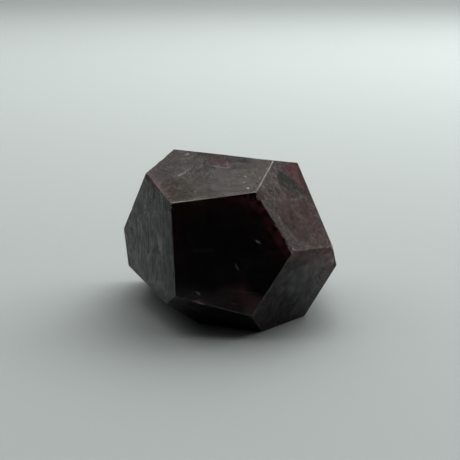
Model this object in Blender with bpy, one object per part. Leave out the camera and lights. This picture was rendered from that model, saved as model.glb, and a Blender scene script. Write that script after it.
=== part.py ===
"""A garnet crystal, ground flat and polished by hand on every face, standing on its base facet.

The stone is laid out as a lapidary writes a cutting chart. Each facet has a bearing, a slope and a
depth, measured from one centre inside the rough. A block is cut back to each facet in turn, the
edges are eased by widths that differ from edge to edge, and the small flakes that have sprung
from its edges and corners are scooped out as shallow shell-shaped scars.

Units are metres, +Z is up, and the origin is on the ground under the middle of the stone.
"""

import math
from typing import NamedTuple

import bmesh
import bpy
from mathutils import Matrix, Vector

MM = 0.001


class Facet(NamedTuple):
    """One flat face: which way it looks and how far from the centre it is ground.

    The bearing is in degrees, anticlockwise from +X seen from above. The slope is in degrees above
    the horizon. The depth is in mm from the centre.
    """

    bearing: float
    slope: float
    depth: float


class Flake(NamedTuple):
    """One scar: the facets that meet where it sprang, its reach and its depth, both in mm.

    Three facets name a corner. Two name an edge, and along says how far from the edge's left end
    the scar is centred, from 0 to 1. A scar that lies more on one facet is turned to it.
    """

    facets: tuple
    reach: float
    depth: float
    along: float = 0.0
    turned_to: str = ""


FACETS = {
    "base": Facet(bearing=0.0, slope=-90.0, depth=12.5),
    "table": Facet(bearing=245.5, slope=67.5, depth=16.4),
    "crown_back": Facet(bearing=60.0, slope=77.5, depth=16.1),
    "front": Facet(bearing=265.0, slope=9.5, depth=16.3),
    "front_left": Facet(bearing=206.0, slope=2.0, depth=15.6),
    "front_right": Facet(bearing=323.5, slope=33.0, depth=17.4),
    "back": Facet(bearing=89.0, slope=-10.0, depth=17.3),
    "back_right": Facet(bearing=8.0, slope=20.0, depth=16.5),
    "back_left": Facet(bearing=158.5, slope=33.5, depth=18.4),
    "under_front": Facet(bearing=249.5, slope=-46.0, depth=16.8),
    "under_right": Facet(bearing=315.5, slope=-20.0, depth=17.4),
    "under_left": Facet(bearing=198.5, slope=-53.0, depth=15.0),
    "girdle_left": Facet(bearing=172.0, slope=-11.5, depth=20.6),
    "girdle_right": Facet(bearing=3.5, slope=-31.5, depth=17.9),
}
CENTRE_HEIGHT = FACETS["base"].depth * MM
ROUGH_SIZE = 60 * MM

# The hand eases most edges by a hair, and a few by more. Width of the flat across each edge, in mm.
EASED_WIDTH = 0.20
WIDE_EDGES = {
    ("table", "front_right"): 0.42,
    ("table", "front_left"): 0.30,
    ("front_right", "under_right"): 0.30,
    ("front", "under_front"): 0.36,
    ("base", "under_front"): 0.30,
    ("base", "under_right"): 0.30,
    ("base", "under_left"): 0.30,
    ("back", "crown_back"): 0.34,
    ("back_left", "girdle_left"): 0.28,
}
EDGE_STEPS = 2

FLAKES = {
    "flake_crown": Flake(("table", "crown_back"), reach=7.4, depth=0.40, along=0.88, turned_to="crown_back"),
    "flake_girdle_corner": Flake(("front", "front_right", "under_right"), reach=1.05, depth=0.30),
    "flake_girdle_edge_a": Flake(("front", "front_right"), reach=0.80, depth=0.20, along=0.91),
    "flake_girdle_edge_b": Flake(("front", "front_right"), reach=0.60, depth=0.14, along=0.84),
    "flake_table_corner": Flake(("table", "front", "front_left"), reach=0.65, depth=0.17),
    "flake_table_left": Flake(("table", "front_left"), reach=1.7, depth=0.2, along=0.16, turned_to="front_left"),
    "flake_left_rim_a": Flake(("table", "back_left"), reach=1.25, depth=0.13, along=0.62),
    "flake_left_rim_b": Flake(("table", "back_left"), reach=1.05, depth=0.11, along=0.33),
    "flake_left_side": Flake(("front_left", "back_left"), reach=0.85, depth=0.13, along=0.36),
    "flake_right_tip": Flake(("front_right", "under_right", "back_right"), reach=0.90, depth=0.24),
    "flake_under_edge": Flake(("front", "under_front"), reach=1.30, depth=0.20, along=0.30),
    "flake_back_edge": Flake(("back", "back_left"), reach=1.60, depth=0.26, along=0.55),
    "flake_back_corner": Flake(("back", "crown_back", "back_right"), reach=1.20, depth=0.34),
    "flake_back_low": Flake(("back", "girdle_right"), reach=1.30, depth=0.22, along=0.40),
    "flake_back_top": Flake(("back", "crown_back"), reach=1.10, depth=0.18, along=0.35),
}
TURN_SHARE = 0.85
FLAKE_RIM = 1.15
FLAKE_PLUG_HEIGHT = 3.0 * MM
FLAKE_RINGS = 6
FLAKE_SIDES = 28
RIPPLE_COUNT = 2.5
RIPPLE_SHARE = 0.06

GARNET_COLOUR = (0.045, 0.006, 0.012, 1.0)
GARNET_ROUGHNESS = 0.08
GARNET_IOR = 1.76


def clear_scene():
    for old in list(bpy.data.objects):
        bpy.data.objects.remove(old)


def facet_normal(name):
    facet = FACETS[name]
    swing = Matrix.Rotation(math.radians(facet.bearing), 3, "Z")
    tilt = Matrix.Rotation(math.radians(-facet.slope), 3, "Y")
    return swing @ tilt @ Vector((1, 0, 0))


def facet_depth(name):
    return FACETS[name].depth * MM


def meeting_point(names):
    """The point where three facets meet, measured from the centre of the stone."""
    normals = Matrix([facet_normal(name) for name in names])
    return normals.inverted() @ Vector([facet_depth(name) for name in names])


def cut_stone():
    """The rough block, cut back to each facet. Every face keeps the number of the facet it lies on."""
    stone = bmesh.new()
    bmesh.ops.create_cube(stone, size=ROUGH_SIZE)
    facet_number = stone.faces.layers.int.new("facet")
    for number, name in enumerate(FACETS):
        cut = bmesh.ops.bisect_plane(
            stone,
            geom=stone.verts[:] + stone.edges[:] + stone.faces[:],
            plane_co=facet_normal(name) * facet_depth(name),
            plane_no=facet_normal(name),
            clear_outer=True,
        )
        rim = [piece for piece in cut["geom_cut"] if isinstance(piece, bmesh.types.BMEdge)]
        capped = bmesh.ops.edgenet_fill(stone, edges=rim)
        for face in capped["faces"]:
            face[facet_number] = number
    bmesh.ops.recalc_face_normals(stone, faces=stone.faces[:])
    return stone


def facets_beside(edge, facet_number):
    names = list(FACETS)
    return frozenset(names[face[facet_number]] for face in edge.link_faces)


def mark_edge_widths(stone):
    """Writes each edge's share of the widest easing, which the Bevel modifier reads as its weight."""
    widest = max(WIDE_EDGES.values())
    widths = {frozenset(pair): width for pair, width in WIDE_EDGES.items()}
    facet_number = stone.faces.layers.int["facet"]
    weight = stone.edges.layers.float.new("bevel_weight_edge")
    for edge in stone.edges:
        edge[weight] = widths.get(facets_beside(edge, facet_number), EASED_WIDTH) / widest


def edge_ends(stone, pair):
    """The two ends of the edge between a pair of facets, from the left end to the right one."""
    facet_number = stone.faces.layers.int["facet"]
    for edge in stone.edges:
        if facets_beside(edge, facet_number) == frozenset(pair):
            return sorted((vert.co.copy() for vert in edge.verts), key=lambda point: point.x)
    raise ValueError(f"no edge lies between {pair}")


def flake_seat(stone, name):
    """Where a flake's scar is centred on the stone's skin, and the way that it faces."""
    flake = FLAKES[name]
    facing = sum((facet_normal(facet) for facet in flake.facets), Vector()).normalized()
    if flake.turned_to:
        facing = facing.lerp(facet_normal(flake.turned_to), TURN_SHARE).normalized()
    if len(flake.facets) == 3:
        return meeting_point(flake.facets), facing
    left, right = edge_ends(stone, flake.facets)
    return left.lerp(right, flake.along), facing


def scar_profile(reach, depth):
    """The scar's half section from its middle outwards: a shallow bowl with faint shell ripples."""
    points = []
    for ring in range(FLAKE_RINGS + 1):
        share = FLAKE_RIM * ring / FLAKE_RINGS
        ripple = RIPPLE_SHARE * share * math.sin(math.tau * RIPPLE_COUNT * share)
        points.append(Vector((reach * share, 0, depth * (share**2 + ripple - 1))))
    points.append(Vector((reach * FLAKE_RIM, 0, FLAKE_PLUG_HEIGHT)))
    points.append(Vector((0, 0, FLAKE_PLUG_HEIGHT)))
    return points


def make_flake_cutter(stone, name):
    """A turned plug with a domed foot, seated on the edge or corner that the flake sprang from."""
    flake = FLAKES[name]
    seat, facing = flake_seat(stone, name)
    plug = bmesh.new()
    profile = [plug.verts.new(point) for point in scar_profile(flake.reach * MM, flake.depth * MM)]
    outline = [plug.edges.new(pair) for pair in zip(profile, profile[1:])]
    bmesh.ops.spin(
        plug,
        geom=profile + outline,
        cent=(0, 0, 0),
        axis=(0, 0, 1),
        angle=math.tau,
        steps=FLAKE_SIDES,
        use_merge=True,
    )
    bmesh.ops.remove_doubles(plug, verts=plug.verts[:], dist=0.001 * MM)
    bmesh.ops.recalc_face_normals(plug, faces=plug.faces[:])
    mesh = bpy.data.meshes.new(name)
    plug.to_mesh(mesh)
    plug.free()
    cutter = bpy.data.objects.new(name, mesh)
    cutter.location = seat + Vector((0, 0, CENTRE_HEIGHT))
    cutter.rotation_mode = "QUATERNION"
    cutter.rotation_quaternion = facing.to_track_quat("Z", "Y")
    cutter.hide_render = True
    cutter.display_type = "WIRE"
    bpy.context.scene.collection.objects.link(cutter)
    return cutter


def garnet_material():
    material = bpy.data.materials.new("polished_garnet")
    material.use_nodes = True
    finish = material.node_tree.nodes["Principled BSDF"]
    finish.inputs["Base Color"].default_value = GARNET_COLOUR
    finish.inputs["Roughness"].default_value = GARNET_ROUGHNESS
    finish.inputs["Metallic"].default_value = 0.0
    finish.inputs["IOR"].default_value = GARNET_IOR
    return material


def ease_edges(crystal):
    easing = crystal.modifiers.new("eased_edges", "BEVEL")
    easing.limit_method = "WEIGHT"
    easing.offset_type = "WIDTH"
    easing.width = max(WIDE_EDGES.values()) * MM
    easing.segments = EDGE_STEPS
    easing.profile = 0.5
    easing.use_clamp_overlap = True


def spring_flakes(crystal, cutters):
    for cutter in cutters:
        scar = crystal.modifiers.new(cutter.name, "BOOLEAN")
        scar.operation = "DIFFERENCE"
        scar.solver = "EXACT"
        scar.object = cutter


def make_crystal():
    stone = cut_stone()
    mark_edge_widths(stone)
    cutters = [make_flake_cutter(stone, name) for name in FLAKES]
    bmesh.ops.translate(stone, verts=stone.verts[:], vec=(0, 0, CENTRE_HEIGHT))
    mesh = bpy.data.meshes.new("garnet_crystal")
    stone.to_mesh(mesh)
    stone.free()
    mesh.materials.append(garnet_material())
    crystal = bpy.data.objects.new("garnet_crystal", mesh)
    bpy.context.scene.collection.objects.link(crystal)
    ease_edges(crystal)
    spring_flakes(crystal, cutters)
    return crystal


def centre_on_origin(crystal):
    """Moves the stone, and the scars' cutters with it, so that the middle of its plan is over the origin."""
    bpy.context.view_layer.update()
    graph = bpy.context.evaluated_depsgraph_get()
    solid = crystal.evaluated_get(graph).to_mesh()
    across = [point.co.x for point in solid.vertices]
    along = [point.co.y for point in solid.vertices]
    shift = Vector((min(across) + max(across), min(along) + max(along), 0)) / -2
    for piece in bpy.context.scene.objects:
        piece.location += shift


clear_scene()
centre_on_origin(make_crystal())
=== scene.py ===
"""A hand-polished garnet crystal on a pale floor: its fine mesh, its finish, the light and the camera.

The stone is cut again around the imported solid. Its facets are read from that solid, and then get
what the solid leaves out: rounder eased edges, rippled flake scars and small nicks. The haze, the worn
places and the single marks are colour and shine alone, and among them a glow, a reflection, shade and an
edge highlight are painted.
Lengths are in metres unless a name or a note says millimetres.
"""

import functools
import math
import random
from typing import NamedTuple

import bmesh
import bpy
from mathutils import Matrix, Vector


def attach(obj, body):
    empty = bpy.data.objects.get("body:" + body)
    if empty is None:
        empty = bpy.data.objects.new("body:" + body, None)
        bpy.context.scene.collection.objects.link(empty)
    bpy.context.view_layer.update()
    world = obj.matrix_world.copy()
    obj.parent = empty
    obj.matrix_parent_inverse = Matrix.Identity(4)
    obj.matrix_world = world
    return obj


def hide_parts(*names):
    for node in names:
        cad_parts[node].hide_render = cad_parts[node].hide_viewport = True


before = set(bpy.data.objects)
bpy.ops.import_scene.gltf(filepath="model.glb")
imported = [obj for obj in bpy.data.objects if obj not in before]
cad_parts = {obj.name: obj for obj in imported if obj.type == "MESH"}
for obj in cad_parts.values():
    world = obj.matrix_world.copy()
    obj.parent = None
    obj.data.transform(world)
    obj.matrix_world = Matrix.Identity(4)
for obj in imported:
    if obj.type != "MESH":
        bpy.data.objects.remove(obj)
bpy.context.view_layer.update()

MM = 0.001
SOLID = "garnet_crystal"

# Roughly which way each facet looks: its bearing, anticlockwise from +X, and its slope, in degrees.
FACET_LOOKS = {
    "base": (0, -90),
    "table": (245, 67),
    "crown_back": (60, 77),
    "front": (265, 10),
    "front_left": (206, 2),
    "front_right": (323, 33),
    "back": (89, -10),
    "back_right": (8, 20),
    "back_left": (158, 33),
    "under_front": (250, -46),
    "under_right": (315, -20),
    "under_left": (198, -53),
    "girdle_left": (172, -12),
    "girdle_right": (4, -31),
}
LOOKS_WITHIN = math.radians(6)
BLOCK_SIZE = 90 * MM

# Width of the flat that the hand leaves across an edge, in mm.
EASED_WIDTH = 0.20
WIDE_EDGES = {
    ("table", "front_right"): 0.26,
    ("table", "front_left"): 0.30,
    ("front", "front_left"): 0.26,
    ("front", "front_right"): 0.34,
    ("front", "under_right"): 0.26,
    ("base", "under_front"): 0.30,
    ("base", "under_right"): 0.30,
    ("base", "under_left"): 0.30,
    ("back", "crown_back"): 0.34,
    ("back_left", "girdle_left"): 0.28,
}
EDGE_STEPS = 6
SHARP_OVER = math.radians(14)
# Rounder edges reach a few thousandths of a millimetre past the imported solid's, so the stone is drawn in.
KEPT_INSIDE = 0.9995


class Flake(NamedTuple):
    """One scar: the facets that meet where it sprang, its reach and its depth, both in mm.

    Three facets name a corner. Two name an edge, and along says how far from the edge's left end
    the scar is centred, from 0 to 1. A scar that lies more on one facet is turned to it.
    """

    facets: tuple
    reach: float
    depth: float
    along: float = 0.0
    turned_to: str = ""
    turned_by: float = 0.0


FLAKES = {
    "flake_crown": Flake(("table", "crown_back"), 7.4, 0.12, 0.88, "crown_back", 1.0),
    "flake_girdle_corner": Flake(("front", "front_right", "under_right"), 0.85, 0.24),
    "flake_girdle_edge_a": Flake(("front", "front_right"), 0.75, 0.17, 0.92, "front", 0.50),
    "flake_girdle_edge_b": Flake(("front", "front_right"), 0.60, 0.11, 0.84, "front", 0.60),
    "flake_girdle_edge_c": Flake(("front", "front_right"), 0.50, 0.08, 0.72, "front", 0.60),
    "flake_girdle_edge_d": Flake(("front", "front_right"), 0.45, 0.07, 0.55, "front", 0.60),
    "flake_table_right": Flake(("front", "front_right"), 0.70, 0.12, 0.08, "front", 0.65),
    "flake_table_corner": Flake(("table", "front", "front_left"), 0.65, 0.17),
    "flake_table_left_a": Flake(("table", "front_left"), 1.30, 0.20, 0.11, "front_left", 0.80),
    "flake_table_left_b": Flake(("table", "front_left"), 0.90, 0.15, 0.20, "front_left", 0.75),
    "flake_table_left_c": Flake(("table", "front_left"), 1.10, 0.16, 0.28, "front_left", 0.82),
    "flake_table_left_d": Flake(("table", "front_left"), 0.75, 0.11, 0.37, "front_left", 0.70),
    "flake_table_left_e": Flake(("table", "front_left"), 0.85, 0.11, 0.46, "front_left", 0.80),
    "flake_table_left_f": Flake(("table", "front_left"), 0.55, 0.08, 0.60, "front_left", 0.75),
    "flake_left_rim_a": Flake(("table", "back_left"), 1.25, 0.13, 0.62),
    "flake_left_rim_b": Flake(("table", "back_left"), 1.05, 0.11, 0.33),
    "flake_left_side": Flake(("front_left", "back_left"), 0.85, 0.13, 0.36),
    "flake_right_tip": Flake(("front_right", "under_right", "back_right"), 0.90, 0.24),
    "flake_under_edge": Flake(("front", "under_front"), 1.30, 0.20, 0.30),
    "flake_back_edge": Flake(("back", "back_left"), 1.60, 0.26, 0.55),
    "flake_back_corner": Flake(("back", "crown_back", "back_right"), 1.20, 0.34),
    "flake_back_low": Flake(("back", "girdle_right"), 1.30, 0.22, 0.40),
    "flake_back_top": Flake(("back", "crown_back"), 1.10, 0.18, 0.35),
}
FLAKE_RIM = 1.15
FLAKE_PLUG_HEIGHT = 3.0 * MM
FLAKE_RINGS = 18
FLAKE_SIDES = 48
RIPPLE_COUNT = 2.5
RIPPLE_SHARE = 0.06

# Nicks that years of handling leave along every edge. Each falls somewhere in its own stretch of the
# edge. What it bites away and how far it leans over to one facet are shares of its radius.
NICK_SEED = 11
NICK_SPACING = 2.1 * MM
NICK_PLACES = (0.3, 0.7)
NICK_RADII = (0.10 * MM, 0.30 * MM)
NICK_BITE = (0.10, 0.28)
NICK_LEAN = (0.0, 0.5)
NICK_STRETCHES = ((0.7, 1.6), (0.8, 1.2))
# Corners that were knocked more often: how many nicks crowd there, within how far, and how much
# closer to the corner than an even spread.
KNOCKED_CORNERS = {
    ("front", "front_right", "under_right"): 26,
    ("table", "front", "front_right"): 10,
    ("table", "front", "front_left"): 10,
    ("table", "front_left", "back_left"): 8,
    ("front_right", "under_right", "back_right"): 10,
    ("back", "crown_back", "back_left"): 10,
}
KNOCKED_REACH = 1.5 * MM
KNOCKED_CROWDING = 1.5
# While the stone is cut, a material slot for each of these tells how a face was left. The share is how
# broken such a face shows in the end.
BROKEN_SHARES = {"polished": 0.0, "chipped": 1.0, "wide_scar": 0.25}
WIDE_SCARS = ("flake_crown",)
# A face lies on a facet when their normals' dot product is over one of these and it is within the other.
ON_FACET_OVER = 0.99999
ON_FACET_WITHIN = 0.004 * MM


# ---------------------------------------------------------------- facets


def looking(bearing, slope):
    """The unit vector at a bearing and a slope, both in degrees."""
    swing = Matrix.Rotation(math.radians(bearing), 3, "Z")
    tilt = Matrix.Rotation(math.radians(-slope), 3, "Y")
    return swing @ tilt @ Vector((1, 0, 0))


def read_facets(solid):
    """Each facet's outward normal and its distance from the origin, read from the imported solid."""
    facets = {}
    for name, looks in FACET_LOOKS.items():
        direction = looking(*looks)
        facing = [face for face in solid.data.polygons if face.normal.angle(direction) < LOOKS_WITHIN]
        widest = max(facing, key=lambda face: face.area)
        normal = widest.normal.copy()
        facets[name] = (normal, normal.dot(widest.center))
    return facets


FACETS = read_facets(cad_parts[SOLID])


def meeting_point(names):
    """The point where three facets meet."""
    normals = Matrix([FACETS[name][0] for name in names])
    return normals.inverted() @ Vector([FACETS[name][1] for name in names])


# ---------------------------------------------------------------- the stone


def cut_stone():
    """A block cut back to each facet. Every face keeps the number of the facet it lies on."""
    stone = bmesh.new()
    bmesh.ops.create_cube(stone, size=BLOCK_SIZE)
    facet_number = stone.faces.layers.int.new("facet")
    for number, (normal, depth) in enumerate(FACETS.values()):
        cut = bmesh.ops.bisect_plane(
            stone,
            geom=stone.verts[:] + stone.edges[:] + stone.faces[:],
            plane_co=normal * depth,
            plane_no=normal,
            clear_outer=True,
        )
        rim = [piece for piece in cut["geom_cut"] if isinstance(piece, bmesh.types.BMEdge)]
        for face in bmesh.ops.edgenet_fill(stone, edges=rim)["faces"]:
            face[facet_number] = number
    bmesh.ops.recalc_face_normals(stone, faces=stone.faces[:])
    return stone


def edge_runs(stone):
    """Each edge of the cut stone: its pair of facets, and its two ends from left to right."""
    names = list(FACETS)
    facet_number = stone.faces.layers.int["facet"]
    runs = {}
    for edge in stone.edges:
        pair = frozenset(names[face[facet_number]] for face in edge.link_faces)
        runs[pair] = sorted((vert.co.copy() for vert in edge.verts), key=lambda point: point.x)
    return runs


def mark_edge_widths(stone):
    """Writes each edge's share of the widest easing, which the Bevel modifier reads as its weight."""
    names = list(FACETS)
    widths = {frozenset(pair): width for pair, width in WIDE_EDGES.items()}
    facet_number = stone.faces.layers.int["facet"]
    weight = stone.edges.layers.float.new("bevel_weight_edge")
    for edge in stone.edges:
        pair = frozenset(names[face[facet_number]] for face in edge.link_faces)
        edge[weight] = widths.get(pair, EASED_WIDTH) / max(WIDE_EDGES.values())


def facing_out(names):
    """The way that the corner or edge between these facets points."""
    return sum((FACETS[name][0] for name in names), Vector()).normalized()


def scar_profile(reach, depth):
    """The scar's half section from its middle outwards: a shallow bowl with faint shell ripples."""
    points = []
    for ring in range(FLAKE_RINGS + 1):
        share = FLAKE_RIM * ring / FLAKE_RINGS
        ripple = RIPPLE_SHARE * share * math.sin(math.tau * RIPPLE_COUNT * share)
        points.append(Vector((reach * share, 0, depth * (share**2 + ripple - 1))))
    points.append(Vector((reach * FLAKE_RIM, 0, FLAKE_PLUG_HEIGHT)))
    points.append(Vector((0, 0, FLAKE_PLUG_HEIGHT)))
    return points


def object_from(name, mesh_maker):
    """A new object at the origin that holds the bmesh, which is freed."""
    mesh = bpy.data.meshes.new(name)
    mesh_maker.to_mesh(mesh)
    mesh_maker.free()
    made = bpy.data.objects.new(name, mesh)
    bpy.context.scene.collection.objects.link(made)
    return made


def flake_cutter(name, runs):
    """A turned plug with a domed, rippled foot, seated where the flake sprang from."""
    flake = FLAKES[name]
    facing = facing_out(flake.facets)
    if flake.turned_to:
        facing = facing.lerp(FACETS[flake.turned_to][0], flake.turned_by).normalized()
    if len(flake.facets) == 3:
        seat = meeting_point(flake.facets)
    else:
        left, right = runs[frozenset(flake.facets)]
        seat = left.lerp(right, flake.along)
    plug = bmesh.new()
    profile = [plug.verts.new(point) for point in scar_profile(flake.reach * MM, flake.depth * MM)]
    outline = [plug.edges.new(pair) for pair in zip(profile, profile[1:])]
    bmesh.ops.spin(
        plug,
        geom=profile + outline,
        cent=(0, 0, 0),
        axis=(0, 0, 1),
        angle=math.tau,
        steps=FLAKE_SIDES,
        use_merge=True,
    )
    bmesh.ops.remove_doubles(plug, verts=plug.verts[:], dist=0.001 * MM)
    bmesh.ops.recalc_face_normals(plug, faces=plug.faces[:])
    turn = facing.to_track_quat("Z", "Y").to_matrix().to_4x4()
    bmesh.ops.transform(plug, verts=plug.verts[:], matrix=Matrix.Translation(seat) @ turn)
    return object_from(name, plug)


def bite(balls, chance, seat, facing, lean_to, radius):
    """Adds an uneven ball that bites a little of the stone away at the seat."""
    sunk = radius * chance.uniform(*NICK_BITE)
    lean = lean_to * radius * chance.uniform(*NICK_LEAN)
    turn = Matrix.Rotation(chance.uniform(0, math.tau), 4, facing)
    stretch = Matrix.Diagonal((1, *(chance.uniform(*span) for span in NICK_STRETCHES), 1))
    bmesh.ops.create_icosphere(
        balls,
        subdivisions=2,
        radius=radius,
        matrix=Matrix.Translation(seat + facing * (radius - sunk) + lean) @ turn @ stretch,
    )


def nick_cutters(runs):
    """One mesh of small uneven balls along the edges and at the knocked corners."""
    chance = random.Random(NICK_SEED)
    balls = bmesh.new()
    for pair in sorted(runs, key=sorted):
        left, right = runs[pair]
        facing = facing_out(sorted(pair))
        count = int((right - left).length / NICK_SPACING)
        for place in range(count):
            along = (place + chance.uniform(*NICK_PLACES)) / count
            # Squared, so that small nicks are the most common.
            radius = max(chance.uniform(*NICK_RADII) ** 2 / NICK_RADII[1], NICK_RADII[0])
            lean_to = FACETS[chance.choice(sorted(pair))][0]
            bite(balls, chance, left.lerp(right, along), facing, lean_to, radius)
    for corner, count in KNOCKED_CORNERS.items():
        seat = meeting_point(corner)
        for _ in range(count):
            pair = frozenset(chance.sample(corner, 2))
            far = max(runs[pair], key=lambda end: (end - seat).length)
            out = (far - seat).normalized() * KNOCKED_REACH * chance.uniform(0, 1) ** KNOCKED_CROWDING
            radius = chance.uniform(*NICK_RADII)
            lean_to = FACETS[chance.choice(corner)][0]
            bite(balls, chance, seat + out, facing_out(corner), lean_to, radius)
    return object_from("edge_nicks", balls)


def settle(piece):
    """Turns what the modifiers make into the piece's own mesh."""
    graph = bpy.context.evaluated_depsgraph_get()
    mesh = bpy.data.meshes.new_from_object(piece.evaluated_get(graph))
    piece.modifiers.clear()
    piece.data = mesh


def cut_away(piece, cutter, left_as, crowded=False):
    """Cuts the cutter's shape out of the piece. The new faces get the slot for how they are left."""
    for face in cutter.data.polygons:
        face.material_index = list(BROKEN_SHARES).index(left_as)
    cut = piece.modifiers.new(cutter.name, "BOOLEAN")
    cut.operation = "DIFFERENCE"
    cut.solver = "EXACT"
    cut.object = cutter
    cut.use_self = crowded
    settle(piece)
    bpy.data.objects.remove(cutter)


def on_a_facet(face):
    """Whether the face is a flat polished one, and not an eased edge or a scar."""
    return any(
        face.normal.dot(normal) > ON_FACET_OVER and abs(normal.dot(face.center) - depth) < ON_FACET_WITHIN
        for normal, depth in FACETS.values()
    )


def make_stone():
    """The stone with its eased edges, scars and nicks. Its scar attribute says how broken a face is."""
    block = cut_stone()
    mark_edge_widths(block)
    runs = edge_runs(block)
    stone = object_from("garnet_stone", block)
    for slot in BROKEN_SHARES:
        stone.data.materials.append(bpy.data.materials.new(slot))
    easing = stone.modifiers.new("eased_edges", "BEVEL")
    easing.limit_method = "WEIGHT"
    easing.offset_type = "WIDTH"
    easing.width = max(WIDE_EDGES.values()) * MM
    easing.segments = EDGE_STEPS
    easing.profile = 0.5
    settle(stone)
    for name in FLAKES:
        cut_away(stone, flake_cutter(name, runs), "wide_scar" if name in WIDE_SCARS else "chipped")
    cut_away(stone, nick_cutters(runs), "chipped", crowded=True)
    stone.data.set_sharp_from_angle(angle=SHARP_OVER)
    for face in stone.data.polygons:
        face.use_smooth = not on_a_facet(face)
    scar = stone.data.attributes.new("scar", "FLOAT", "FACE")
    shares = list(BROKEN_SHARES.values())
    for face in stone.data.polygons:
        scar.data[face.index].value = shares[face.material_index]
        face.material_index = 0
    stone.data.transform(Matrix.Scale(KEPT_INSIDE, 4))
    return stone


# ---------------------------------------------------------------- shader wiring


class Value:
    """A number in a shader. Arithmetic on it adds Math nodes."""

    def __init__(self, shader, socket):
        self.shader = shader
        self.socket = socket

    def _math(self, operation, first, second):
        made = self.shader.node("ShaderNodeMath", {"operation": operation}, {0: first, 1: second})
        return Value(self.shader, made.outputs[0])

    def __add__(self, other):
        return self._math("ADD", self, other)

    __radd__ = __add__

    def __sub__(self, other):
        return self._math("SUBTRACT", self, other)

    def __rsub__(self, other):
        return self._math("SUBTRACT", other, self)

    def __mul__(self, other):
        return self._math("MULTIPLY", self, other)

    __rmul__ = __mul__

    def __truediv__(self, other):
        return self._math("DIVIDE", self, other)

    def __rtruediv__(self, other):
        return self._math("DIVIDE", other, self)

    def __pow__(self, other):
        return self._math("POWER", self, other)

    def __rpow__(self, other):
        return self._math("POWER", other, self)

    def over(self, limit):
        """1 where the number is over the limit, and 0 elsewhere."""
        return self._math("GREATER_THAN", self, limit)

    def under(self, limit):
        """1 where the number is under the limit, and 0 elsewhere."""
        return self._math("LESS_THAN", self, limit)

    def most(self, other):
        return self._math("MAXIMUM", self, other)

    def least(self, other):
        return self._math("MINIMUM", self, other)

    def rise(self, start, end, before=0.0, after=1.0):
        """One value up to the start, the other from the end on, and a smooth passage between.

        Where the start is the larger, the passage runs downwards from it.
        """
        made = self.shader.node(
            "ShaderNodeMapRange",
            {"interpolation_type": "SMOOTHSTEP", "clamp": False},
            {"Value": self, "From Min": start, "From Max": end, "To Min": before, "To Max": after},
        )
        return Value(self.shader, made.outputs["Result"])


class Shader:
    """A node tree of a material or of the room, and the ways to add to it."""

    def __init__(self, owner, output):
        owner.use_nodes = True
        self.tree = owner.node_tree
        self.tree.nodes.clear()
        self.output = self.node(output)

    def node(self, kind, settings=None, inputs=None):
        """A node of this kind, with its settings and then its sockets' values or links."""
        made = self.tree.nodes.new(kind)
        for key, setting in (settings or {}).items():
            setattr(made, key, setting)
        for key, given in (inputs or {}).items():
            self.feed(made.inputs[key], given)
        return made

    def feed(self, socket, given):
        """Links a value or a socket to the socket, or sets it to a number, a vector or a colour."""
        if isinstance(given, Value):
            given = given.socket
        if isinstance(given, bpy.types.NodeSocket):
            self.tree.links.new(given, socket)
        elif isinstance(given, tuple) and len(given) == 3 and socket.type == "RGBA":
            socket.default_value = (*given, 1.0)
        else:
            socket.default_value = given

    def value(self, socket):
        return Value(self, socket)

    def vector(self, operation, inputs):
        """What a Vector Math node makes of its inputs, as a vector."""
        return self.node("ShaderNodeVectorMath", {"operation": operation}, inputs).outputs["Vector"]

    def measure(self, operation, first, second):
        """What a Vector Math node measures between two vectors, as a value."""
        made = self.node("ShaderNodeVectorMath", {"operation": operation}, {0: first, 1: second})
        return Value(self, made.outputs["Value"])

    def place(self):
        """The point on the piece, in metres in the piece's own frame."""
        return self.node("ShaderNodeTexCoord").outputs["Object"]

    def mapped(self, vector, **given):
        """The point scaled, then turned, then moved."""
        keys = {"at": "Location", "turn": "Rotation", "scale": "Scale"}
        inputs = {keys[key]: item for key, item in given.items()}
        return self.node("ShaderNodeMapping", {}, {"Vector": vector, **inputs}).outputs["Vector"]

    def noise(self, vector, scale, detail=3.0, roughness=0.5, distortion=0.0):
        """A noise about 0.5. The scale is in patches per unit of the vector."""
        cloud = {"Scale": scale, "Detail": detail, "Roughness": roughness, "Distortion": distortion}
        return Value(self, self.node("ShaderNodeTexNoise", {}, {"Vector": vector, **cloud}).outputs["Fac"])

    def mix(self, factor, first, second):
        """A colour from the first to the second. The factor runs from 0 to 1."""
        made = self.node("ShaderNodeMix", {"data_type": "RGBA"}, {"Factor": factor, 6: first, 7: second})
        return made.outputs[2]

    def between(self, factor, first, second):
        """A point between the first and the second."""
        made = self.node("ShaderNodeMix", {"data_type": "VECTOR"}, {"Factor": factor, 4: first, 5: second})
        return made.outputs[1]

    def split(self, colour):
        """A colour's three parts as values."""
        parts = self.node("ShaderNodeSeparateColor", {}, {"Color": colour}).outputs
        return [Value(self, parts[channel]) for channel in ("Red", "Green", "Blue")]

    def principled(self, inputs):
        """A shaded surface."""
        return self.node("ShaderNodeBsdfPrincipled", {}, inputs).outputs["BSDF"]

    def layered(self, cover, below, above):
        """One finish over another, covering it by a share."""
        return self.node("ShaderNodeMixShader", {}, {0: cover, 1: below, 2: above}).outputs[0]


# ---------------------------------------------------------------- garnet

# What shows in or on the stone, as the colour of a solid patch of it.
DEEP_RED = (0.30, 0.050, 0.055)
ROSE = (0.42, 0.16, 0.20)
PINK = (0.55, 0.36, 0.38)
MILK = (0.62, 0.60, 0.53)
HONEY = (0.36, 0.31, 0.13)
FLECK = (0.95, 0.92, 0.86)
BROKEN = (0.46, 0.22, 0.24)
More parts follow.
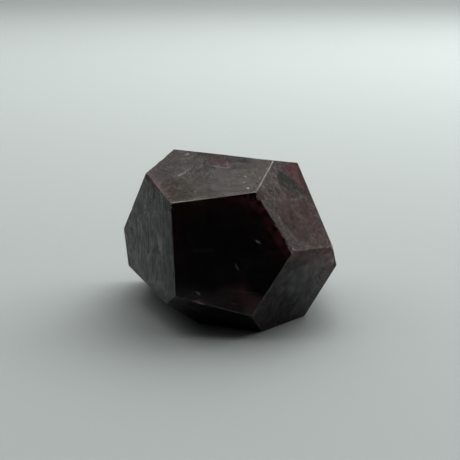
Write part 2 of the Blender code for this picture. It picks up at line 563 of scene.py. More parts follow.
# Places that have lost their polish, as how worn, how rusty and how mossy a solid patch of it is. Soot also
# lays the painted shade on under_front, brick is a painted red glow, and slate mostly a painted dark
# reflection.
SOOT_AND_PAINTED_SHADE = (1.0, 0.0, 0.0)
RUST = (1.0, 0.6, 0.0)
PAINTED_GLOW_BRICK = (1.0, 1.0, 0.0)
OLIVE = (1.0, 0.35, 0.5)
SLATE_AND_PAINTED_REFLECTION = (1.0, 0.0, 0.9)
# The colours of worn, rusty and mossy patches, which the painted shade, glow and reflection use too.
WORN_AND_SHADE_COLOUR = (0.012, 0.012, 0.012)
RUSTY_AND_GLOW_COLOUR = (0.20, 0.045, 0.035)
MOSSY_AND_REFLECTION_COLOUR = (0.040, 0.058, 0.042)

# How each facet was left: streaked, swirled and mottled by the polishing, then how red its borders
# glow, how much of its shine is gone, and the turn of its streaks in half turns. The border glow is
# painted light, and the shine lost on under_front is painted shade.
FINISHES_AND_PAINTED_LIGHT = {
    "base": ((0.3, 0.2, 0.6), (0.0, 0.60, 0.10)),
    "table": ((0.08, 0.10, 1.0), (0.35, 0.11, 0.30)),
    "crown_back": ((0.15, 0.3, 0.7), (0.8, 0.10, 0.15)),
    "front": ((0.05, 0.05, 0.12), (1.0, 0.12, 0.20)),
    "front_left": ((1.0, 0.1, 0.35), (0.15, 0.30, 0.0)),
    "front_right": ((0.05, 1.0, 0.8), (0.4, 0.18, -0.10)),
    "back": ((0.20, 0.1, 0.3), (1.0, 0.08, 0.35)),
    "back_right": ((0.15, 0.5, 0.5), (1.0, 0.10, 0.40)),
    "back_left": ((0.35, 0.2, 0.4), (1.0, 0.12, 0.22)),
    # under_front's lost shine is painted shade: it darkens the facet that hangs over the stone's contact
    # shadow.
    "under_front": ((0.05, 0.0, 0.05), (0.4, 0.40, 0.0)),
    "under_right": ((0.5, 0.1, 0.25), (0.4, 0.36, 0.15)),
    "under_left": ((0.3, 0.2, 0.3), (0.7, 0.20, -0.20)),
    "girdle_left": ((0.45, 0.1, 0.3), (1.0, 0.15, 0.08)),
    "girdle_right": ((0.3, 0.4, 0.3), (1.0, 0.12, -0.15)),
}

# The patterned layers in order: what shows, how strongly, on which finish of a facet, and each pattern
# that it follows, with the two values between which the pattern goes from 0 to 1.
HAZE_LAYERS = [
    (MILK, 0.095, "mottled", {"mottle": (0.44, 0.64)}),
    (ROSE, 0.11, "mottled", {"blotch": (0.46, 0.64)}),
    (ROSE, 0.05, "swirled", {}),
    (MILK, 0.20, "streaked", {"streak": (0.48, 0.66)}),
    (MILK, 0.14, "swirled", {"swirl": (0.62, 1.0), "blotch": (0.38, 0.58)}),
]
WORN_LAYERS = [
    (RUST, 0.34, "swirled", {"blotch": (0.42, 0.58)}),
    (SOOT_AND_PAINTED_SHADE, 0.30, "mottled", {"grain": (0.53, 0.42), "blotch": (0.60, 0.45)}),
    (SOOT_AND_PAINTED_SHADE, 0.46, "streaked", {"streak": (0.52, 0.40)}),
    (SOOT_AND_PAINTED_SHADE, 0.28, "swirled", {"swirl": (0.35, 0.0)}),
]
# Grain that shows pale where a facet is mottled and where it is streaked, and the eased edges' haze, which
# is partly worn frosting and partly a painted highlight along them.
GRAIN_RISE = (0.58, 0.70)
GRAIN_MOTTLED = 0.09
GRAIN_STREAKED = 0.22
EASED_HAZE_AND_HIGHLIGHT = 0.34
# Pale flecks and dark pits strewn over the facets: how strongly they show, then their spacing and
# radius in mm and the share of the places that have one.
FLECK_STRENGTH = 0.40
FLECKS = (1.7, 0.14, 0.5)
PIT_STRENGTH = 0.50
PITS = (1.5, 0.20, 0.45)
# How pale a scar shows, evenly and in its grain.
SCAR_HAZE = (0.14, 0.30)
SCAR_GRAIN_RISE = (0.35, 0.7)
# How strongly a facet's lost shine shows, evenly and where it is mottled. On under_front this is painted
# shade.
DULLED_AND_SHADED = (0.6, 0.8)
DULL_AND_SHADE_MOTTLES = (0.60, 0.40)
# A worn patch with a half width over this many mm is mealy: how strongly it shows evenly, in blotches
# and in grains. A narrower one is even.
MEALY_OVER = 0.5
MEAL = (0.4, 0.4, 0.5)
MEAL_BLOTCHES = (0.58, 0.44)
MEAL_GRAINS = (0.58, 0.40)
# Streaks are drawn out along themselves. Two patterns are moved aside, in mm, to differ from others.
STREAK_STRETCH = (2.6, 0.24, 1.0)
BLOTCH_SHIFT = (7.0, 3.0, 0.0)
PIT_SHIFT = (11.0, 5.0, 0.0)

# How strongly the daylight that a facet lets in reddens the stone beside it, and how far in, in mm.
GLOW = {
    "table": 0.40,
    "crown_back": 0.5,
    "front_right": 0.95,
    "back_right": 0.7,
    "back_left": 0.5,
    "front_left": 0.10,
    "under_front": 0.10,
    "back": 0.6,
    "girdle_left": 0.5,
    "girdle_right": 0.5,
    "under_left": 0.3,
}
GLOW_REACH = 1.1
# The facet's own skin isn't reddened by it. The glow shows in patches, and up to a limit.
GLOW_FROM = 0.03
GLOW_PATCHES = (0.46, 0.58)
GLOW_LIMIT = 0.8

# Marks on a facet: what shows, how much of it, from where to where along the facet in mm, and its
# half width. Places count level to the right and then up the slope, from the point of the facet's
# plane that lies nearest the middle of the stone's foot.
MARKS = {
    "table": [
        (FLECK, 0.34, (-6.6, 8.1), (-6.4, 8.1), 0.35),
        (ROSE, 0.13, (-8.6, 8.2), (-7.0, 8.0), 1.1),
        (PINK, 0.05, (-9.0, 3.0), (-4.5, 5.5), 3.2),
        (PINK, 0.30, (-4.9, 1.2), (-3.9, 3.4), 0.5),
        (MILK, 0.34, (-4.9, 1.3), (-4.4, 2.2), 0.36),
        (DEEP_RED, 0.22, (-0.9, 6.8), (1.4, 6.8), 1.3),
        (PINK, 0.46, (0.4, 4.9), (3.2, 4.9), 0.30),
        (PINK, 0.34, (2.2, 6.4), (3.0, 5.3), 0.4),
        (MILK, 0.18, (-2.2, 5.0), (-1.9, 4.4), 0.22),
        (FLECK, 0.34, (7.2, 2.9), (7.3, 2.7), 0.24),
        (FLECK, 0.34, (7.6, 1.1), (7.7, 1.0), 0.22),
        (FLECK, 0.45, (9.0, -0.6), (9.2, -0.7), 0.28),
        (FLECK, 0.22, (9.9, 2.9), (10.0, 2.7), 0.20),
        (FLECK, 0.18, (6.4, 4.8), (6.7, 4.6), 0.20),
        (FLECK, 0.16, (1.9, 2.5), (2.2, 2.3), 0.18),
        (ROSE, 0.08, (8.4, 5.6), (9.6, 6.6), 1.0),
        (MILK, 0.05, (7.0, 2.0), (8.4, -1.0), 3.4),
        (HONEY, 0.075, (1.0, -1.0), (9.0, 2.4), 6.0),
        (HONEY, 0.05, (-8.0, 5.0), (-3.0, -1.0), 4.0),
        (HONEY, 0.09, (-5.0, -1.6), (0.0, -4.4), 2.6),
        (FLECK, 0.40, (-2.6, -7.1), (1.0, -5.6), 0.24),
        (FLECK, 0.26, (1.0, -5.6), (10.9, -1.6), 0.20),
        (ROSE, 0.30, (-10.6, 0.5), (-7.4, -2.4), 0.7),
        (ROSE, 0.12, (-7.4, -2.4), (-3.2, -6.2), 0.5),
        (ROSE, 0.16, (5.6, -2.8), (7.9, -2.0), 0.28),
    ],
    "front_right": [
        (HONEY, 0.085, (-6.0, 14.0), (-1.0, 4.0), 6.0),
        # The red and rose strokes at the facet's upper right are a painted glow: light from behind, seen
        # through the stone.
        (DEEP_RED, 0.18, (2.4, 15.9), (4.8, 13.0), 1.5),
        (DEEP_RED, 0.16, (1.6, 17.0), (4.9, 16.2), 0.9),
        (ROSE, 0.08, (4.9, 15.6), (4.7, 10.4), 0.7),
        (ROSE, 0.20, (3.0, 14.4), (4.3, 11.9), 0.7),
        (MILK, 0.20, (-6.4, 15.2), (-1.6, 17.6), 1.6),
        (PINK, 0.30, (-3.1, 14.8), (-2.7, 11.6), 0.32),
        (PINK, 0.36, (-2.6, 11.2), (-1.2, 10.8), 0.36),
        (PINK, 0.28, (-1.2, 10.8), (2.6, 10.9), 0.28),
        (MILK, 0.14, (-6.6, 13.1), (-4.6, 13.4), 0.22),
        (MILK, 0.12, (-8.3, 12.6), (-7.2, 8.6), 0.26),
        (MILK, 0.10, (-7.6, 12.4), (-6.6, 9.0), 0.22),
        (ROSE, 0.08, (-5.0, 12.4), (-5.8, 9.0), 0.9),
        (MILK, 0.09, (-6.6, 3.4), (0.6, 2.5), 0.5),
        (ROSE, 0.06, (1.0, 6.0), (2.8, 3.0), 1.6),
        (MILK, 0.24, (-9.5, 13.6), (-7.8, 2.9), 0.17),
        (MILK, 0.20, (-7.4, 2.6), (3.4, 0.8), 0.20),
        (FLECK, 0.36, (-7.4, 2.9), (-7.1, 2.7), 0.20),
        (FLECK, 0.36, (2.2, 0.75), (2.5, 0.7), 0.22),
    ],
    "front_left": [
        (FLECK, 0.16, (4.1, 14.8), (4.4, 13.6), 0.8),
        (FLECK, 0.20, (4.1, 14.5), (4.3, 14.2), 0.35),
        (MILK, 0.16, (4.3, 14.0), (4.7, 11.6), 0.30),
        (MILK, 0.18, (1.3, 17.3), (2.1, 17.6), 0.45),
        (FLECK, 0.30, (-3.0, 19.6), (-2.7, 19.6), 0.34),
        (FLECK, 0.18, (-2.3, 22.2), (-2.2, 21.6), 0.30),
        (FLECK, 0.18, (-4.0, 11.1), (-3.8, 10.7), 0.34),
        (FLECK, 0.26, (0.8, 6.7), (1.2, 6.4), 0.36),
        (MILK, 0.18, (3.2, 7.2), (3.8, 6.6), 0.45),
        (MILK, 0.08, (-6.4, 13.4), (-5.8, 12.6), 0.5),
        (MILK, 0.07, (-11.6, 12.8), (-10.4, 13.2), 0.5),
        (MILK, 0.07, (-11.0, 8.0), (-4.0, 12.0), 3.4),
        (MILK, 0.08, (-3.0, 7.0), (2.6, 6.6), 2.0),
        (MILK, 0.08, (4.6, 15.4), (4.9, 12.6), 1.2),
        (FLECK, 0.30, (-6.2, 16.4), (-6.0, 16.1), 0.26),
        (FLECK, 0.26, (6.6, 15.2), (6.7, 14.6), 0.24),
        (FLECK, 0.26, (3.4, 10.4), (3.5, 9.8), 0.24),
        (FLECK, 0.30, (0.2, 9.6), (0.4, 9.4), 0.26),
        (FLECK, 0.24, (-8.6, 9.8), (-8.4, 9.4), 0.26),
        (ROSE, 0.06, (-4.4, 22.4), (-2.4, 23.4), 1.1),
        (ROSE, 0.05, (2.4, 8.0), (5.4, 7.4), 1.2),
    ],
    "front": [
        (FLECK, 0.30, (6.5, 14.3), (7.0, 13.9), 0.16),
        (MILK, 0.12, (6.1, 14.5), (6.5, 14.3), 0.20),
        (FLECK, 0.20, (2.9, 10.2), (3.3, 9.5), 0.14),
        (MILK, 0.14, (3.2, 9.5), (3.7, 9.2), 0.18),
        (FLECK, 0.30, (-3.7, 5.2), (-3.2, 4.9), 0.20),
        (FLECK, 0.20, (-3.2, 3.9), (-2.8, 3.8), 0.18),
        (FLECK, 0.18, (2.3, 3.5), (2.7, 3.4), 0.18),
        (ROSE, 0.22, (4.2, 7.0), (4.4, 5.0), 0.20),
        (ROSE, 0.14, (4.9, 6.2), (5.0, 4.6), 0.16),
        (ROSE, 0.12, (3.4, 5.4), (6.6, 3.0), 1.6),
        (ROSE, 0.05, (-3.6, 3.4), (7.0, 3.4), 1.8),
        (DEEP_RED, 0.12, (9.4, 15.4), (11.2, 12.8), 0.5),
        (DEEP_RED, 0.10, (7.8, 18.4), (9.0, 17.2), 0.4),
        (ROSE, 0.12, (8.4, 19.0), (8.7, 18.7), 0.22),
        (ROSE, 0.10, (10.2, 14.6), (10.4, 14.2), 0.22),
        (MILK, 0.04, (-5.0, 12.2), (-1.0, 12.6), 0.22),
        (MILK, 0.05, (-5.4, 14.9), (-5.1, 14.7), 0.22),
        (MILK, 0.05, (-1.1, 15.4), (-0.9, 15.2), 0.20),
        (MILK, 0.05, (0.6, 14.6), (1.2, 15.2), 0.20),
        (DEEP_RED, 0.14, (3.8, 21.0), (5.8, 20.4), 0.8),
        (ROSE, 0.14, (3.9, 21.1), (4.2, 21.1), 0.28),
        (ROSE, 0.10, (5.7, 20.9), (5.9, 20.9), 0.25),
        (DEEP_RED, 0.14, (-7.3, 15.0), (-7.2, 14.6), 0.5),
        (DEEP_RED, 0.07, (-7.4, 12.2), (-5.8, 12.0), 0.5),
        (ROSE, 0.16, (11.7, 12.9), (11.9, 12.7), 0.25),
        (FLECK, 0.45, (12.0, 13.4), (12.2, 13.2), 0.17),
        (FLECK, 0.35, (11.5, 14.2), (11.6, 14.0), 0.13),
        (FLECK, 0.50, (12.4, 12.6), (12.6, 12.5), 0.18),
    ],
    "under_right": [
        (ROSE, 0.44, (4.0, 19.6), (7.8, 16.8), 1.3),
        (PINK, 0.16, (2.6, 17.6), (7.4, 14.6), 2.2),
        (ROSE, 0.20, (-0.6, 19.5), (5.0, 18.8), 0.7),
        (PINK, 0.30, (7.6, 17.0), (8.4, 16.2), 0.4),
        (PINK, 0.12, (-3.4, 17.2), (4.6, 17.0), 0.40),
        (PINK, 0.12, (-7.2, 13.6), (-3.4, 17.2), 0.40),
        (ROSE, 0.07, (-9.4, 10.8), (-6.2, 11.6), 1.4),
        (ROSE, 0.07, (-8.6, 9.6), (-5.2, 8.0), 0.7),
    ],
}

# Worn places, and dull patches of painted glow and painted reflection, laid out the same way.
WORN_AND_PAINTED_MARKS = {
    "table": [
        (OLIVE, 0.62, (-4.8, -1.8), (-2.0, -4.4), 2.3),
        (OLIVE, 0.34, (-1.0, -4.2), (3.0, -3.2), 1.5),
        (SOOT_AND_PAINTED_SHADE, 0.36, (-10.0, 7.6), (-8.0, 1.0), 2.6),
        (SOOT_AND_PAINTED_SHADE, 0.24, (-4.0, 7.0), (-1.0, 0.0), 3.6),
        (RUST, 0.26, (-6.4, -1.6), (-3.4, -5.4), 1.0),
        (SOOT_AND_PAINTED_SHADE, 0.36, (-4.0, 8.6), (5.0, 8.2), 1.5),
        (SOOT_AND_PAINTED_SHADE, 0.20, (1.0, 5.6), (6.4, 6.4), 1.8),
        (RUST, 0.40, (-0.6, 7.0), (1.8, 6.9), 1.3),
        (SOOT_AND_PAINTED_SHADE, 0.28, (-4.6, -1.0), (-4.2, -1.4), 0.30),
        (SOOT_AND_PAINTED_SHADE, 0.34, (-3.2, -3.2), (-2.6, -3.6), 0.40),
        (SOOT_AND_PAINTED_SHADE, 0.25, (-1.2, -2.2), (-0.4, -3.2), 0.30),
        (SOOT_AND_PAINTED_SHADE, 0.25, (1.9, -1.2), (2.3, -2.2), 0.25),
        (SOOT_AND_PAINTED_SHADE, 0.25, (-2.2, 6.4), (-1.6, 4.8), 0.40),
        (SOOT_AND_PAINTED_SHADE, 0.18, (-1.0, 7.4), (2.4, 7.2), 0.9),
        (SOOT_AND_PAINTED_SHADE, 0.14, (2.6, 7.8), (5.4, 7.6), 0.8),
    ],
    "front_right": [
        # This slate band is a painted dark reflection.
        (SLATE_AND_PAINTED_REFLECTION, 0.66, (-1.5, 15.4), (3.3, 11.6), 0.66),
        (SLATE_AND_PAINTED_REFLECTION, 0.62, (-0.9, 16.3), (2.4, 13.2), 0.60),
        (SLATE_AND_PAINTED_REFLECTION, 0.45, (-2.0, 14.4), (0.4, 12.4), 0.42),
        # The brick patches are a painted red glow of light from behind, at the same place as the red
        # strokes.
        (PAINTED_GLOW_BRICK, 0.34, (2.6, 15.8), (4.8, 13.2), 1.4),
        (PAINTED_GLOW_BRICK, 0.22, (1.8, 16.9), (5.0, 16.0), 0.8),
        (RUST, 0.42, (5.6, 16.6), (4.9, 9.6), 1.3),
        (SOOT_AND_PAINTED_SHADE, 0.22, (5.6, 16.6), (4.6, 11.6), 1.0),
        (SOOT_AND_PAINTED_SHADE, 0.45, (-6.1, 13.65), (-5.4, 13.55), 0.26),
        (SOOT_AND_PAINTED_SHADE, 0.45, (-9.2, 13.7), (-8.5, 12.9), 0.45),
        (RUST, 0.40, (-4.0, 7.8), (-2.8, 7.2), 0.75),
        (RUST, 0.30, (-5.4, 10.8), (-4.8, 10.2), 0.8),
        (SLATE_AND_PAINTED_REFLECTION, 0.30, (-6.0, 8.2), (-4.6, 6.4), 0.7),
        (OLIVE, 0.30, (-4.6, 5.6), (-2.4, 4.2), 1.4),
        (RUST, 0.30, (0.2, 8.8), (1.0, 7.2), 1.1),
        (RUST, 0.20, (-1.0, 10.4), (2.6, 4.0), 3.4),
        (RUST, 0.22, (-5.0, 8.0), (-3.4, 5.0), 2.0),
        (SOOT_AND_PAINTED_SHADE, 0.30, (-3.4, 9.0), (-4.2, 6.4), 0.30),
        (SOOT_AND_PAINTED_SHADE, 0.30, (-6.6, 10.4), (-6.0, 7.4), 0.26),
    ],
    "front_left": [
        (SOOT_AND_PAINTED_SHADE, 0.35, (1.1, 16.0), (1.1, 14.9), 0.24),
        (SOOT_AND_PAINTED_SHADE, 0.35, (2.5, 16.0), (2.7, 15.0), 0.22),
        (SOOT_AND_PAINTED_SHADE, 0.35, (-3.3, 18.6), (-3.4, 17.8), 0.22),
        (SOOT_AND_PAINTED_SHADE, 0.26, (7.6, 22.0), (9.6, 9.0), 2.8),
        (SOOT_AND_PAINTED_SHADE, 0.16, (1.6, 16.0), (3.0, 9.0), 1.6),
        (RUST, 0.34, (-2.3, 25.0), (3.6, 23.6), 0.55),
        (SOOT_AND_PAINTED_SHADE, 0.40, (-5.0, 14.4), (-5.2, 12.6), 0.24),
        (SOOT_AND_PAINTED_SHADE, 0.40, (3.4, 14.0), (3.5, 12.6), 0.24),
        (SOOT_AND_PAINTED_SHADE, 0.35, (-1.0, 12.4), (-1.1, 10.8), 0.26),
    ],
    "front": [
        (SOOT_AND_PAINTED_SHADE, 0.40, (-7.0, 4.8), (-3.6, 3.4), 1.3),
    ],
    "under_right": [
        (SOOT_AND_PAINTED_SHADE, 0.44, (-7.6, 12.0), (-2.0, 8.6), 3.2),
        (SOOT_AND_PAINTED_SHADE, 0.30, (-9.0, 15.0), (-4.0, 17.0), 2.4),
        (RUST, 0.24, (-6.0, 20.0), (4.0, 19.6), 1.7),
        (SOOT_AND_PAINTED_SHADE, 0.70, (-1.7, 8.8), (-1.6, 8.7), 0.34),
        (SOOT_AND_PAINTED_SHADE, 0.70, (-2.8, 6.2), (-2.3, 6.0), 0.34),
        (SOOT_AND_PAINTED_SHADE, 0.30, (-4.4, 17.9), (-2.6, 18.0), 0.40),
        (SOOT_AND_PAINTED_SHADE, 0.25, (-5.6, 19.0), (0.0, 18.4), 0.8),
    ],
}

# How far the marks' outlines wander, in mm, and where a mark's rim begins and ends, in half widths.
WANDER = 0.34
MARK_RIM = (0.4, 1.3)
# A dot's rim, in radii, and how much smaller the smallest dots are.
DOT_RIM = (0.5, 1.3)
DOT_SHRINK = 1.5
# How much of the stone's depth haze hides, as against how brightly it shows.
HAZE_BODY = 1.6
# A cover that is divided by is taken to be at least this.
THINNEST_COVER = 0.001
# The charts lie this many mm apart. Between these depths in mm, the skin counts as an eased edge.
CHART_STEP = 60.0
EASED_DEPTHS = (0.009, 0.02)
# Below this slope, as a sine, a facet's chart keeps to +X.
LEVEL_UNDER = 0.01

CLEAR = (1.0, 1.0, 1.0)
GARNET_IOR = 1.76
GARNET_ABSORPTION = {"Color": (0.86, 0.05, 0.12), "Density": 2200.0}
# The surface of worn patches and of the painted dull patches.
WORN_AND_PAINTED_SKIN = {"Roughness": 0.6, "Specular IOR Level": 0.15}
# Roughness of the best polish, what its mottling adds, and what a scar adds.
POLISH_ROUGHNESS = 0.04
MOTTLED_ROUGHNESS = 0.08
MOTTLED_ROUGHNESS_RISE = (0.35, 0.8)
SCAR_ROUGHNESS = 0.22
# Relief under the shine, in mm: the hand's long waves, and the crumb of the polish and of a scar.
WAVE_HEIGHT = 0.08
CRUMB_HEIGHT = 0.004
SCAR_CRUMB_HEIGHT = 0.016


class Layers:
    """Layers laid one over another, each at its own strength from place to place."""

    def __init__(self, shader):
        self.shader = shader
        self.shown = (0.0, 0.0, 0.0)

    def lay(self, what, amount):
        self.shown = self.shader.mix(amount, self.shown, what)


def depth_under(shader, place, name):
    """How far a point lies under the drawn-in stone's facet, in mm."""
    normal, depth = FACETS[name]
    return depth * KEPT_INSIDE / MM - shader.measure("DOT_PRODUCT", place, normal / MM)


def laid_flat(shader, place, name):
    """The point on a facet's chart in mm: level to the right and up the slope."""
    normal, depth = FACETS[name]
    level = Vector((0, 0, 1)).cross(normal)
    if level.length < LEVEL_UNDER:
        level = Vector((1, 0, 0))
    level.normalize()
    turn = Matrix((level, normal.cross(level), normal)).to_euler()
    shift = (CHART_STEP * list(FACETS).index(name), 0, -depth * KEPT_INSIDE / MM)
    return shader.mapped(place, at=shift, turn=turn, scale=(1 / MM, 1 / MM, 1 / MM))


class FacetCharts:
    """The facets' charts side by side, and the finish of the facet that a point lies on or nearest to."""

    def __init__(self, shader, place):
        self.depths = {name: depth_under(shader, place, name) for name in FACETS}
        nearest = None
        for name, depth in self.depths.items():
            flat = laid_flat(shader, place, name)
            polish, light = FINISHES_AND_PAINTED_LIGHT[name]
            if nearest is None:
                self.flat, polish_mix, light_mix, nearest = flat, polish, light, depth
                continue
            closer = depth.under(nearest)
            self.flat = shader.between(closer, self.flat, flat)
            polish_mix = shader.mix(closer, polish_mix, polish)
            light_mix = shader.mix(closer, light_mix, light)
            nearest = nearest.least(depth)
        self.eased = nearest.rise(*EASED_DEPTHS)
        self.polish = dict(zip(("streaked", "swirled", "mottled"), shader.split(polish_mix)))
        self.glow, self.dull, self.turn = shader.split(light_mix)
        self.speckled = (self.polish["streaked"] + self.polish["mottled"]).least(1.0)


def stroke(shader, chart, facet, start, end, width, amount):
    """The amount within a stroke on a facet's chart and 0 outside it, with a soft rim."""
    first = CHART_STEP * list(FACETS).index(facet)
    start = Vector((start[0] + first, start[1], 0))
    run = Vector((end[0] + first, end[1], 0)) - start
    offset = shader.vector("SUBTRACT", {0: chart, 1: start})
    share = shader.measure("DOT_PRODUCT", offset, run / run.length_squared).most(0.0).least(1.0)
    nearest = shader.vector("SCALE", {0: run, "Scale": share})
    apart = shader.measure("DISTANCE", offset, nearest)
    return apart.rise(MARK_RIM[0] * width, MARK_RIM[1] * width, before=amount, after=0.0)


def dots(shader, chart, spacing, radius, share):
    """1 on round dots strewn about the spacing apart, at a share of the places, and 0 between them."""
    cells = shader.node(
        "ShaderNodeTexVoronoi", {"voronoi_dimensions": "2D"}, {"Vector": chart, "Scale": 1 / spacing}
    )
    picked, size, _ = shader.split(cells.outputs["Color"])
    reach = shader.value(cells.outputs["Distance"]) * (1.0 + DOT_SHRINK * size)
    start, end = (rim * radius / spacing for rim in DOT_RIM)
    return picked.under(share) * reach.rise(start, end, before=1.0, after=0.0)


def patterns_on(shader, charts):
    """The patterns that the polishing left, on the facets' charts in mm."""
    flat = charts.flat
    mottle = shader.noise(flat, scale=0.5, detail=6.0, roughness=0.68)
    blotch = shader.noise(shader.mapped(flat, at=BLOTCH_SHIFT), scale=0.9, detail=5.0, roughness=0.7)
    grain = shader.noise(flat, scale=3.0, detail=4.0, roughness=0.7)
    turned = shader.node(
        "ShaderNodeVectorRotate",
        {"rotation_type": "Z_AXIS"},
        {"Vector": flat, "Angle": charts.turn * math.pi},
    )
    drawn = shader.mapped(turned.outputs["Vector"], scale=STREAK_STRETCH)
    streak = shader.noise(drawn, scale=1.0, detail=4.0, roughness=0.65, distortion=0.25)
    waves = shader.node(
        "ShaderNodeTexWave",
        {"wave_type": "BANDS", "bands_direction": "X", "wave_profile": "SIN"},
        {"Vector": flat, "Scale": 0.08, "Distortion": 13.0, "Detail": 3.0, "Detail Scale": 7.0},
    )
    swirl = shader.value(waves.outputs["Fac"])
    return {"mottle": mottle, "blotch": blotch, "grain": grain, "streak": streak, "swirl": swirl}


def wandering(shader, flat):
    """The charts with each point pushed a little aside, which gives the marks uneven outlines."""
    push = shader.node("ShaderNodeTexNoise", {}, {"Vector": flat, "Scale": 1.3, "Detail": 4.0})
    aside = shader.vector(
        "MULTIPLY_ADD",
        {0: push.outputs["Color"], 1: (WANDER, WANDER, 0), 2: (-WANDER / 2, -WANDER / 2, 0)},
    )
    return shader.vector("ADD", {0: flat, 1: aside})


def lay_patterned(layers, patterned, charts, patterns):
    """Lays each patterned layer as strongly as the facet's finish and its patterns say."""
    for what, strength, finish, follows in patterned:
        amount = strength * charts.polish[finish]
        for pattern, span in follows.items():
            amount = amount * patterns[pattern].rise(*span)
        layers.lay(what, amount)


def haze_over(shader, charts, patterns, wandered, scar):
    """What shows red or pale in and on the stone, as its colour on black."""
    red = 0.0
    for name, strength in GLOW.items():
        depth = charts.depths[name]
        red = red + strength * (math.e ** (depth / -GLOW_REACH)) * depth.over(GLOW_FROM)
    haze = Layers(shader)
    haze.lay(DEEP_RED, (red * charts.glow * patterns["blotch"].rise(*GLOW_PATCHES)).least(GLOW_LIMIT))
    lay_patterned(haze, HAZE_LAYERS, charts, patterns)
    pale_grain = patterns["grain"].rise(*GRAIN_RISE)
    grainy = GRAIN_MOTTLED * charts.polish["mottled"] + GRAIN_STREAKED * charts.polish["streaked"]
    haze.lay(FLECK, pale_grain * grainy)
    # The eased edges' pale haze: partly worn frosting, partly a painted highlight line.
    haze.lay(MILK, EASED_HAZE_AND_HIGHLIGHT * charts.eased)
    haze.lay(FLECK, FLECK_STRENGTH * charts.speckled * dots(shader, wandered, *FLECKS))
    for name, marks in MARKS.items():
        for colour, amount, start, end, width in marks:
            haze.lay(colour, stroke(shader, wandered, name, start, end, width, amount))
    haze.lay(BROKEN, scar * (SCAR_HAZE[0] + SCAR_HAZE[1] * patterns["grain"].rise(*SCAR_GRAIN_RISE)))
    return haze.shown


def wear_and_painted_light_over(shader, charts, patterns, wandered):
    """Where the polish is lost, and where glow, reflection and shade are painted as dull patches, as how
    worn, how rusty and how mossy each place is.
    """
    even, in_blotches, in_grains = MEAL
    mealy = even + in_blotches * patterns["blotch"].rise(*MEAL_BLOTCHES)
    mealy = mealy + in_grains * patterns["grain"].rise(*MEAL_GRAINS)
    worn_and_painted = Layers(shader)
    # A facet's lost shine, which on under_front is painted shade.
    worn_and_painted.lay(SOOT_AND_PAINTED_SHADE, charts.dull * (DULLED_AND_SHADED[0] + DULLED_AND_SHADED[1] * patterns["mottle"].rise(*DULL_AND_SHADE_MOTTLES)))
    lay_patterned(worn_and_painted, WORN_LAYERS, charts, patterns)
    pitted = shader.mapped(wandered, at=PIT_SHIFT)
    worn_and_painted.lay(SOOT_AND_PAINTED_SHADE, PIT_STRENGTH * charts.speckled * dots(shader, pitted, *PITS))
    for name, marks in WORN_AND_PAINTED_MARKS.items():
        for colour, amount, start, end, width in marks:
            patch = stroke(shader, wandered, name, start, end, width, amount)
            worn_and_painted.lay(colour, patch * mealy if width > MEALY_OVER else patch)
    return worn_and_painted.shown


def polished_skin(shader, place, mottle, scar):
    """The roughness, index and fine relief that the clear stone and its haze share."""
    mottled = mottle.rise(*MOTTLED_ROUGHNESS_RISE)
    roughness = POLISH_ROUGHNESS + MOTTLED_ROUGHNESS * mottled + SCAR_ROUGHNESS * scar
    millimetres = shader.mapped(place, scale=(1 / MM, 1 / MM, 1 / MM))
    wave = shader.noise(millimetres, scale=0.10, detail=1.0)
    crumb = shader.noise(millimetres, scale=2.4, detail=3.0)
    height = WAVE_HEIGHT * wave + (CRUMB_HEIGHT + SCAR_CRUMB_HEIGHT * scar) * crumb
    bump = shader.node("ShaderNodeBump", {}, {"Height": height, "Distance": MM, "Strength": 1.0})
    return {"Roughness": roughness, "IOR": GARNET_IOR, "Normal": bump.outputs["Normal"]}


def garnet():
    """Clear, deep red stone under its haze, and both under the worn places and the painted dull patches."""
    material = bpy.data.materials.new("polished_garnet")
    shader = Shader(material, "ShaderNodeOutputMaterial")
    place = shader.place()
    charts = FacetCharts(shader, place)
    scar = shader.value(shader.node("ShaderNodeAttribute", {"attribute_name": "scar"}).outputs["Fac"])
    patterns = patterns_on(shader, charts)
    wandered = wandering(shader, charts.flat)
    haze = haze_over(shader, charts, patterns, wandered, scar)
    wear_and_painted_light = wear_and_painted_light_over(shader, charts, patterns, wandered)

    haze_cover = HAZE_BODY * functools.reduce(Value.most, shader.split(haze))
    haze_colour = shader.vector("SCALE", {0: haze, "Scale": 1 / haze_cover.most(THINNEST_COVER)})
    # The dull cover holds lost polish and the painted glow, reflection and shade.
    worn_and_painted_cover, rusty, mossy = shader.split(wear_and_painted_light)
    worn_and_painted_colour = shader.mix(rusty / worn_and_painted_cover.most(THINNEST_COVER), WORN_AND_SHADE_COLOUR, RUSTY_AND_GLOW_COLOUR)
    worn_and_painted_colour = shader.mix(mossy / worn_and_painted_cover.most(THINNEST_COVER), worn_and_painted_colour, MOSSY_AND_REFLECTION_COLOUR)

    skin = polished_skin(shader, place, patterns["mottle"], scar)
    clear = shader.principled({"Base Color": CLEAR, "Transmission Weight": 1.0, **skin})
    hazy = shader.principled({"Base Color": haze_colour, **skin})
    dull = shader.principled({"Base Color": worn_and_painted_colour, **WORN_AND_PAINTED_SKIN})
    stone_mix = shader.layered(haze_cover, clear, hazy)
    worn_and_painted_mix = shader.layered(worn_and_painted_cover, stone_mix, dull)
    absorption = shader.node("ShaderNodeVolumeAbsorption", {}, GARNET_ABSORPTION)
    shader.feed(shader.output.inputs["Surface"], worn_and_painted_mix)
    shader.feed(shader.output.inputs["Volume"], absorption.outputs["Volume"])
    return material


# ---------------------------------------------------------------- stage


FLOOR_SIZE = 6.0
FLOOR_SKIN = {"Base Color": (0.58, 0.62, 0.61), "Roughness": 0.8, "Specular IOR Level": 0.2}
CAMERA_AT = Vector((0.5, -182.4, 63.5)) * MM
CAMERA_TILT = 15.0
CAMERA_SPAN = (0.01, 50.0)
LENS = 78.95
VIEW_GAMMA = 0.8


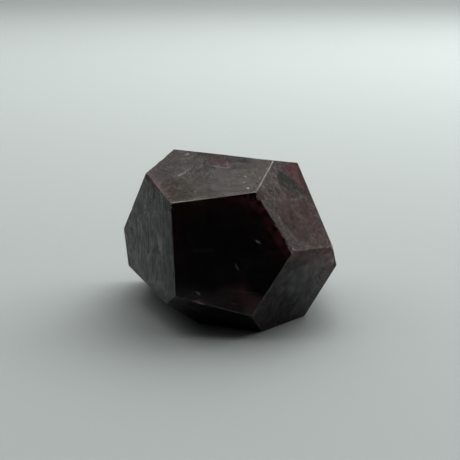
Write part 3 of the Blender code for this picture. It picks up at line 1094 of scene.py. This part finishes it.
def pale_floor():
    material = bpy.data.materials.new("pale_floor")
    shader = Shader(material, "ShaderNodeOutputMaterial")
    shader.feed(shader.output.inputs["Surface"], shader.principled(FLOOR_SKIN))
    sheet = bmesh.new()
    bmesh.ops.create_grid(sheet, x_segments=1, y_segments=1, size=FLOOR_SIZE / 2)
    floor = object_from("floor", sheet)
    floor.data.materials.append(material)


# White soft boxes: where each hangs, what it faces, its width and height, all in metres, and its
# power in watts.
SOFT_BOXES = {
    "key": ((0.42, 0.45, 0.55), (0.42, 0.45, 0.0), (0.9, 0.7), 3.4),
    "canopy": ((-0.05, 0.50, 0.75), (-0.05, 0.45, 0.0), (2.2, 1.4), 9.4),
    "right": ((0.85, 0.30, 0.42), (0.0, 0.0, 0.0), (0.6, 0.6), 1.0),
    "far": ((0.4, 2.3, 1.1), (0.4, 2.3, 0.0), (2.4, 1.2), 18.0),
}
# The room is bright up behind the stone on its right, and dark in front of it and low down.
ROOM_BRIGHT_TOWARDS = Vector((0.15, 0.35, 0.9)).normalized()
ROOM_RISE = (-0.05, 0.85)
ROOM_LOW = 0.012
ROOM_HIGH = 0.15
WHITE = (1.0, 1.0, 1.0)


def hang_soft_box(name):
    at, target, (width, height), power = SOFT_BOXES[name]
    lamp = bpy.data.lights.new(name, "AREA")
    lamp.shape = "RECTANGLE"
    lamp.size = width
    lamp.size_y = height
    lamp.energy = power
    holder = bpy.data.objects.new(name, lamp)
    holder.location = at
    holder.rotation_mode = "QUATERNION"
    holder.rotation_quaternion = (Vector(target) - Vector(at)).to_track_quat("-Z", "Y")
    holder.visible_camera = False
    bpy.context.scene.collection.objects.link(holder)


def light_room():
    room = bpy.data.worlds.new("room")
    shader = Shader(room, "ShaderNodeOutputWorld")
    direction = shader.node("ShaderNodeTexCoord").outputs["Generated"]
    bright = shader.measure("DOT_PRODUCT", direction, ROOM_BRIGHT_TOWARDS).rise(*ROOM_RISE)
    strength = ROOM_LOW + (ROOM_HIGH - ROOM_LOW) * bright
    walls = shader.node("ShaderNodeBackground", {}, {"Color": WHITE, "Strength": strength})
    shader.feed(shader.output.inputs["Surface"], walls.outputs["Background"])
    bpy.context.scene.world = room


def set_camera():
    view = bpy.data.cameras.new("camera")
    view.lens = LENS
    view.clip_start, view.clip_end = CAMERA_SPAN
    camera = bpy.data.objects.new("camera", view)
    camera.location = CAMERA_AT
    camera.rotation_euler = (math.radians(90 - CAMERA_TILT), 0, 0)
    bpy.context.scene.collection.objects.link(camera)
    bpy.context.scene.camera = camera


bpy.context.scene.view_settings.view_transform = "Standard"
bpy.context.scene.view_settings.gamma = VIEW_GAMMA
stone = make_stone()
stone.data.materials.clear()
stone.data.materials.append(garnet())
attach(stone, "root")
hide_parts(SOLID)
pale_floor()
for name in SOFT_BOXES:
    hang_soft_box(name)
light_room()
set_camera()
